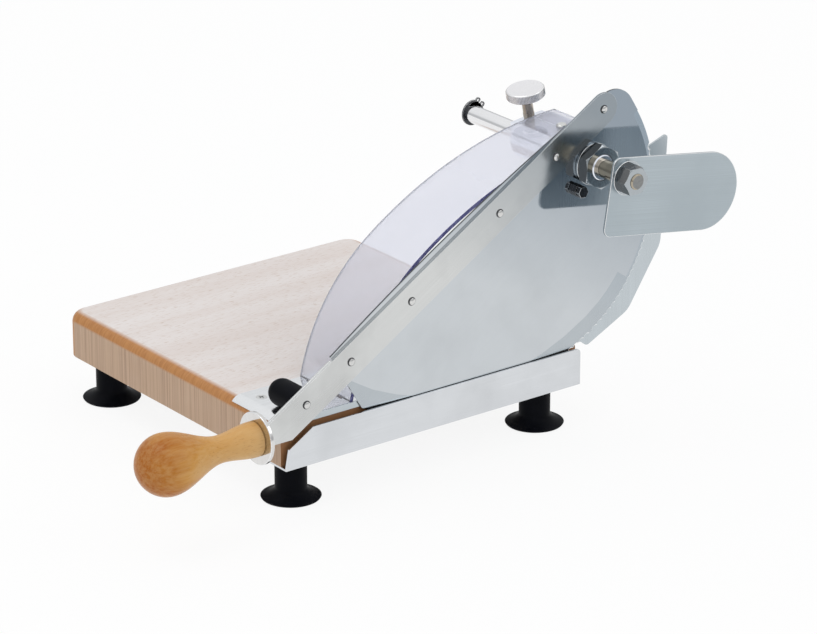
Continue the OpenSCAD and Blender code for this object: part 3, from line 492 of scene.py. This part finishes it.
def makeBlade():
    piece = linkObject("curvedBlade", mergedMesh("blade", "curvedBlade"))
    for look in ("blade", "bevel", "scallop", "bladeBack"):
        piece.data.materials.append(finish[look])
    for polygon in piece.data.polygons:
        if bladeFacing["flat"] < polygon.normal.y < bladeFacing["bevel"]:
            polygon.material_index = 1
        elif bladeFacing["bevel"] < polygon.normal.y < bladeFacing["scallop"]:
            polygon.material_index = 2
        elif abs(polygon.normal.y) < bladeFacing["rim"] and aboveBar(polygon.center):
            polygon.material_index = 3
    smoothFaces(piece.data, bladeFacing["smooth"])
    attach(piece, "lever", "blade_steel", "blade")


makeBlade()
print("blade made")


# clear guard: its faces clear, its cut edges tinted
guardSmooth = 20  # degrees; the bend is smooth, the cut edges are sharp


def makeGuard():
    piece = linkObject("clearGuard", mergedMesh("hand_guard", "clearGuard"))
    for look in ("clear", "backEdge", "frontEdge"):
        piece.data.materials.append(finish[look])
    for polygon in piece.data.polygons:
        if abs(polygon.normal.y) > facing["square"]:
            polygon.material_index = 1 if polygon.normal.y > 0 else 2
    smoothFaces(piece.data, guardSmooth)
    attach(piece, "base", "clear_sheet", "hand_guard")


makeGuard()
print("guard made")


# geometry nodes helpers
def startGeometryTree(name, inputs):
    tree = bpy.data.node_groups.new(name, "GeometryNodeTree")
    tree.interface.new_socket("Geometry", in_out="INPUT", socket_type="NodeSocketGeometry")
    sockets = {}
    for label, kind, value in inputs:
        socket = tree.interface.new_socket(label, in_out="INPUT", socket_type=kind)
        if value is not None:
            socket.default_value = value
        sockets[label] = socket.identifier
    tree.interface.new_socket("Geometry", in_out="OUTPUT", socket_type="NodeSocketGeometry")
    start = tree.nodes.new("NodeGroupInput")
    end = tree.nodes.new("NodeGroupOutput")
    return tree, start, end, sockets


def runTree(name, mesh, tree, sockets, values):
    piece = linkObject(name, mesh)
    modifier = piece.modifiers.new("build", "NODES")
    modifier.node_group = tree
    for label, value in values.items():
        modifier[sockets[label]] = value
    bakeModifiers(piece)
    return piece


# centres and boxes of the separate solids in a grouped node
def solidBoxes(node):
    shape = bmesh.new()
    shape.from_mesh(nodes[node].data)
    bmesh.ops.remove_doubles(shape, verts=shape.verts, dist=mergeDistance)
    seen, boxes = set(), []
    for first in shape.verts:
        if first in seen:
            continue
        stack, points = [first], []
        seen.add(first)
        while stack:
            vert = stack.pop()
            points.append(vert.co.copy())
            for edge in vert.link_edges:
                other = edge.other_vert(vert)
                if other not in seen:
                    seen.add(other)
                    stack.append(other)
        low = Vector(min(p[i] for p in points) for i in range(3))
        high = Vector(max(p[i] for p in points) for i in range(3))
        boxes.append((low, high))
    shape.free()
    return sorted(boxes, key=lambda pair: tuple(pair[0]))


def lathe(profile, segments=48):
    shape = bmesh.new()
    rings = []
    for radius, height in profile:
        if radius < 1e-7:
            rings.append([shape.verts.new((0, 0, height))])
        else:
            rings.append([
                shape.verts.new((radius * math.cos(t), radius * math.sin(t), height))
                for t in (2 * math.pi * k / segments for k in range(segments))
            ])
    for low, high in zip(rings, rings[1:]):
        for k in range(segments):
            corners = [low[k % len(low)], low[(k + 1) % len(low)], high[(k + 1) % len(high)], high[k % len(high)]]
            unique = [c for i, c in enumerate(corners) if c not in corners[:i]]
            if len(unique) > 2:
                shape.faces.new(unique)
    bmesh.ops.recalc_face_normals(shape, faces=shape.faces)
    return shape


def toMesh(shape, name, turn=None):
    mesh = bpy.data.meshes.new(name)
    if turn is not None:
        bmesh.ops.transform(shape, matrix=turn, verts=shape.verts)
    shape.to_mesh(mesh)
    shape.free()
    return mesh


def cutWith(mesh, cutterMesh):
    body = linkObject("cutBody", mesh)
    cutter = linkObject("cutTool", cutterMesh)
    boolean = body.modifiers.new("cut", "BOOLEAN")
    boolean.operation = "DIFFERENCE"
    boolean.solver = "EXACT"
    boolean.object = cutter
    bakeModifiers(body)
    result = body.data
    bpy.data.objects.remove(body)
    bpy.data.objects.remove(cutter)
    return result


# one small solid repeated on points: rivets and screws
def headTree():
    tree, start, end, sockets = startGeometryTree("repeatedHeads", [
        ("Head", "NodeSocketObject", None), ("Finish", "NodeSocketMaterial", None), ("Size", "NodeSocketFloat", 1.0)])
    info = addNode(tree, "GeometryNodeObjectInfo")
    place = addNode(tree, "GeometryNodeInstanceOnPoints")
    realize = addNode(tree, "GeometryNodeRealizeInstances")
    paint = addNode(tree, "GeometryNodeSetMaterial")
    link = tree.links.new
    link(start.outputs["Head"], info.inputs["Object"])
    link(start.outputs["Geometry"], place.inputs["Points"])
    link(info.outputs["Geometry"], place.inputs["Instance"])
    link(start.outputs["Size"], place.inputs["Scale"])
    link(place.outputs["Instances"], realize.inputs["Geometry"])
    link(realize.outputs["Geometry"], paint.inputs["Geometry"])
    link(start.outputs["Finish"], paint.inputs["Material"])
    link(paint.outputs["Geometry"], end.inputs["Geometry"])
    return tree, sockets


headNodes, headSockets = headTree()


def placeHeads(name, points, headMesh, look, smooth=30):
    spots = bpy.data.meshes.new(name)
    spots.from_pydata([tuple(p) for p in points], [], [])
    head = linkObject(name + "Head", headMesh)
    piece = runTree(name, spots, headNodes, headSockets, {"Head": head, "Finish": finish[look]})
    bpy.data.objects.remove(head)
    smoothFaces(piece.data, smooth)
    return piece


towardsFront = Matrix.Rotation(math.radians(90), 4, "X")  # local Z to -Y

# rivets along the bar: a low dome with a small flat and a rolled skirt
rivet = {
    "radius": 3.25, "height": 1.5, "flat": 0.9, "shank": 2.0,
    "domeAngles": (8, 22, 38, 54, 68), "skirt": 0.97, "dimple": 0.97,
}


def rivetMesh(depth):
    r, h = rivet["radius"] * mm, rivet["height"] * mm
    dome = [(r * math.cos(t), h * math.sin(t)) for t in (math.radians(a) for a in rivet["domeAngles"])]
    shank = rivet["shank"] * mm
    profile = [(0, -depth), (shank, -depth), (shank, 0), (r * rivet["skirt"], 0), *dome,
               (rivet["flat"] * mm, h), (0, h * rivet["dimple"])]
    return toMesh(lathe(profile, 32), "rivet", towardsFront)


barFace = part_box("lever_bar")[0].y
rivetBoxes = solidBoxes("lever_rivets")
rivetPoints = [Vector(((a.x + b.x) / 2, barFace, (a.z + b.z) / 2)) for a, b in rivetBoxes]
barRivets = placeHeads("barRivets", rivetPoints, rivetMesh(rivetBoxes[0][1].y - barFace), "zinc")
attach(barRivets, "lever", "zinc", "lever_rivets")
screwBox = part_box("bumper_screw")
bumperPoint = Vector(((screwBox[0].x + screwBox[1].x) / 2, barFace, (screwBox[0].z + screwBox[1].z) / 2))
bumperRivet = placeHeads("bumperRivet", [bumperPoint], rivetMesh(screwBox[1].y - barFace), "zinc")
attach(bumperRivet, "lever", "zinc", "bumper_screw")
# painted shade: the sloped sides and skirts of the rivet heads in blackened steel, as the shade round each head
for rivetName in ("barRivets", "bumperRivet"):
    paintFaces(rivetName, "dark", lambda polygon: polygon.normal.y > -facing["skirt"])
print("rivets placed:", len(rivetPoints) + 1)

# countersunk cross-head screws of the slot plate
plateScrew = {
    "head": 4.25, "cone": 2.4, "shank": 2.0, "rim": 0.12, "rimStep": 0.1,
    "slotLength": 4.6, "slotWidth": 0.9, "slotDepth": 1.3, "slotTurns": (20, 110),
}


def slotCutter(size, turn):
    shape = bmesh.new()
    bmesh.ops.create_cube(shape, size=1.0)
    scale = Matrix.Diagonal((size["slotLength"] * mm, size["slotWidth"] * mm, 2 * size["slotDepth"] * mm, 1))
    return toMesh(shape, "slotCutter", Matrix.Rotation(math.radians(turn), 4, "Z") @ scale)


def plateScrewMesh(length):
    head, shank = plateScrew["head"] * mm, plateScrew["shank"] * mm
    profile = [(0, -length), (shank, -length), (shank, -plateScrew["cone"] * mm),
               (head, -plateScrew["rim"] * mm), (head - plateScrew["rimStep"] * mm, 0), (0, 0)]
    screw = toMesh(lathe(profile, 40), "plateScrew")
    for turn in plateScrew["slotTurns"]:
        screw = cutWith(screw, slotCutter(plateScrew, turn))
    return screw


screwBoxes = solidBoxes("plate_screws")
screwPoints = [Vector(((a.x + b.x) / 2, (a.y + b.y) / 2, b.z)) for a, b in screwBoxes]
screwLength = screwBoxes[0][1].z - screwBoxes[0][0].z
plateScrews = placeHeads("plateScrews", screwPoints, plateScrewMesh(screwLength), "zinc")
attach(plateScrews, "base", "zinc", "plate_screws")
print("plate screws placed:", len(screwPoints))


# knurl round the rim of the thumb knob
knurl = {"count": 84, "radius": 14.2, "height": 5.4, "size": 0.62, "middle": 38.4}


def knurlTree():
    tree, start, end, sockets = startGeometryTree("knobKnurl", [
        ("Count", "NodeSocketInt", 80), ("Radius", "NodeSocketFloat", 0.014),
        ("Height", "NodeSocketFloat", 0.003), ("Ridge", "NodeSocketFloat", 0.0006),
        ("Place", "NodeSocketVector", None), ("Lean", "NodeSocketVector", None),
        ("Finish", "NodeSocketMaterial", None)])
    circle = addNode(tree, "GeometryNodeMeshCircle")
    ridgeSize = addNode(tree, "ShaderNodeCombineXYZ")
    ridge = addNode(tree, "GeometryNodeMeshCube")
    turned = addNode(tree, "GeometryNodeTransform", {"Rotation": (0, 0, math.radians(45))})
    position = addNode(tree, "GeometryNodeInputPosition")
    align = addNode(tree, "FunctionNodeAlignRotationToVector", axis="X")
    place = addNode(tree, "GeometryNodeInstanceOnPoints")
    realize = addNode(tree, "GeometryNodeRealizeInstances")
    move = addNode(tree, "GeometryNodeTransform")
    paint = addNode(tree, "GeometryNodeSetMaterial")
    link = tree.links.new
    link(start.outputs["Count"], circle.inputs["Vertices"])
    link(start.outputs["Radius"], circle.inputs["Radius"])
    link(start.outputs["Ridge"], ridgeSize.inputs[0])
    link(start.outputs["Ridge"], ridgeSize.inputs[1])
    link(start.outputs["Height"], ridgeSize.inputs[2])
    link(ridgeSize.outputs[0], ridge.inputs["Size"])
    link(ridge.outputs["Mesh"], turned.inputs["Geometry"])
    link(position.outputs[0], align.inputs["Vector"])
    link(circle.outputs["Mesh"], place.inputs["Points"])
    link(turned.outputs["Geometry"], place.inputs["Instance"])
    link(align.outputs[0], place.inputs["Rotation"])
    link(place.outputs["Instances"], realize.inputs["Geometry"])
    link(realize.outputs["Geometry"], move.inputs["Geometry"])
    link(start.outputs["Place"], move.inputs["Translation"])
    link(start.outputs["Lean"], move.inputs["Rotation"])
    link(move.outputs["Geometry"], paint.inputs["Geometry"])
    link(start.outputs["Finish"], paint.inputs["Material"])
    link(paint.outputs["Geometry"], end.inputs["Geometry"])
    return tree, sockets


clampY = sum(p.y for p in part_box("clamp_stud")) / 2
clampBase = Vector((pivotAxis.x, clampY, pivotAxis.z))
clampDirection = Vector((-math.sin(clampLean), 0, math.cos(clampLean)))


def alongClamp(height):
    return clampBase + clampDirection * height * mm


knurlNodes, knurlSockets = knurlTree()
knurlPiece = runTree("knobKnurl", bpy.data.meshes.new("knobKnurl"), knurlNodes, knurlSockets, {
    "Count": knurl["count"], "Radius": knurl["radius"] * mm, "Height": knurl["height"] * mm,
    "Ridge": knurl["size"] * mm, "Place": alongClamp(knurl["middle"]), "Lean": (0, -clampLean, 0),
    "Finish": finish["knurl"]})
attach(knurlPiece, "thumb_screw", "chrome")
print("knurl made:", knurl["count"], "ridges")


# thread coil on the clamp stud above the hub
def threadTree():
    tree, start, end, sockets = startGeometryTree("threadCoil", [
        ("Turns", "NodeSocketFloat", 6.0), ("Radius", "NodeSocketFloat", 0.0035),
        ("Length", "NodeSocketFloat", 0.006), ("Ridge", "NodeSocketFloat", 0.0003),
        ("Place", "NodeSocketVector", None), ("Lean", "NodeSocketVector", None),
        ("Finish", "NodeSocketMaterial", None)])
    spiral = addNode(tree, "GeometryNodeCurveSpiral", {"Resolution": 28})
    section = addNode(tree, "GeometryNodeCurvePrimitiveCircle", {"Resolution": 6})
    sweep = addNode(tree, "GeometryNodeCurveToMesh", {"Fill Caps": True})
    move = addNode(tree, "GeometryNodeTransform")
    realize = addNode(tree, "GeometryNodeRealizeInstances")
    paint = addNode(tree, "GeometryNodeSetMaterial")
    link = tree.links.new
    link(start.outputs["Turns"], spiral.inputs["Rotations"])
    link(start.outputs["Radius"], spiral.inputs["Start Radius"])
    link(start.outputs["Radius"], spiral.inputs["End Radius"])
    link(start.outputs["Length"], spiral.inputs["Height"])
    link(start.outputs["Ridge"], section.inputs["Radius"])
    link(spiral.outputs["Curve"], sweep.inputs["Curve"])
    link(section.outputs["Curve"], sweep.inputs["Profile Curve"])
    link(sweep.outputs["Mesh"], move.inputs["Geometry"])
    link(start.outputs["Place"], move.inputs["Translation"])
    link(start.outputs["Lean"], move.inputs["Rotation"])
    link(move.outputs["Geometry"], realize.inputs["Geometry"])
    link(realize.outputs["Geometry"], paint.inputs["Geometry"])
    link(start.outputs["Finish"], paint.inputs["Material"])
    link(paint.outputs["Geometry"], end.inputs["Geometry"])
    return tree, sockets


threadNodes, threadSockets = threadTree()
clampThread = {"turns": 4.0, "radius": 4.0, "length": 4.0, "ridge": 0.32, "from": 18.6, "smooth": 60}
clampCoil = runTree("clampThread", bpy.data.meshes.new("clampThread"), threadNodes, threadSockets, {
    "Turns": clampThread["turns"], "Radius": clampThread["radius"] * mm, "Length": clampThread["length"] * mm,
    "Ridge": clampThread["ridge"] * mm, "Place": alongClamp(clampThread["from"]), "Lean": (0, -clampLean, 0),
    "Finish": finish["stem"]})
smoothFaces(clampCoil.data, clampThread["smooth"])
attach(clampCoil, "thumb_screw", "chrome")
print("thread made")

# plain pale floor, white to the eye, through glass and in polished metal, under a pale room
stageLook = {
    "floor": (0.92, 0.92, 0.92),
    "white": 0.88,
    "room": [(0.0, (0.55, 0.56, 0.57)), (0.22, (0.55, 0.56, 0.57)), (0.42, (0.90, 0.91, 0.92)),
             (1.0, (0.93, 0.93, 0.93))],
    "floorSize": 14,
    "floorDrop": 0.0004,
}
lampAim = (0, 0, 0.1)
lamps = {
    "keyLamp": {"place": (-0.9, 0.3, 2.2), "size": 1.4, "watts": 7.0},
    "fillLamp": {"place": (1.2, -1.6, 1.6), "size": 1.2, "watts": 3.0},
}


def seenDirectly(tree):
    path = addNode(tree, "ShaderNodeLightPath")
    mirrored = math2(tree, "MAXIMUM", path.outputs["Is Glossy Ray"], path.outputs["Is Transmission Ray"])
    return math2(tree, "MAXIMUM", path.outputs["Is Camera Ray"], mirrored)


def makeFloor():
    shape = bmesh.new()
    bmesh.ops.create_grid(shape, x_segments=1, y_segments=1, size=stageLook["floorSize"])
    floor = linkObject("paleFloor", toMesh(shape, "paleFloor"))
    mat, tree, shader, _ = startMaterial("paleFloor")
    seen = seenDirectly(tree)
    shader.inputs["Base Color"].default_value = (*stageLook["floor"], 1.0)
    shader.inputs["Roughness"].default_value = 0.9
    shader.inputs["Specular IOR Level"].default_value = 0.0
    glow = addNode(tree, "ShaderNodeEmission", {"Strength": 1.0})
    blend = addNode(tree, "ShaderNodeMixShader")
    tree.links.new(math2(tree, "MULTIPLY", seen, stageLook["white"]), blend.inputs[0])
    tree.links.new(shader.outputs[0], blend.inputs[1])
    tree.links.new(glow.outputs[0], blend.inputs[2])
    tree.links.new(blend.outputs[0], tree.nodes["Material Output"].inputs["Surface"])
    floor.data.materials.append(mat)
    floor.location.z = -stageLook["floorDrop"]


def makeWorld():
    world = bpy.data.worlds.new("paleRoom")
    bpy.context.scene.world = world
    world.use_nodes = True
    tree = world.node_tree
    background = tree.nodes["Background"]
    coord = addNode(tree, "ShaderNodeTexCoord")
    split = addNode(tree, "ShaderNodeSeparateXYZ")
    tree.links.new(coord.outputs["Generated"], split.inputs[0])
    tree.links.new(ramp(tree, split.outputs[2], stageLook["room"]), background.inputs["Color"])
    background.inputs["Strength"].default_value = 1.0


def addLamp(name, place, size, watts):
    data = bpy.data.lights.new(name, "AREA")
    data.shape = "DISK"
    data.size = size
    data.energy = watts
    lamp = bpy.data.objects.new(name, data)
    bpy.context.scene.collection.objects.link(lamp)
    lamp.location = place
    lamp.rotation_mode = "QUATERNION"
    lamp.rotation_quaternion = (Vector(lampAim) - Vector(place)).to_track_quat("-Z", "Y")


makeFloor()
makeWorld()
for lampName, lampSetup in lamps.items():
    addLamp(lampName, **lampSetup)
print("stage made")
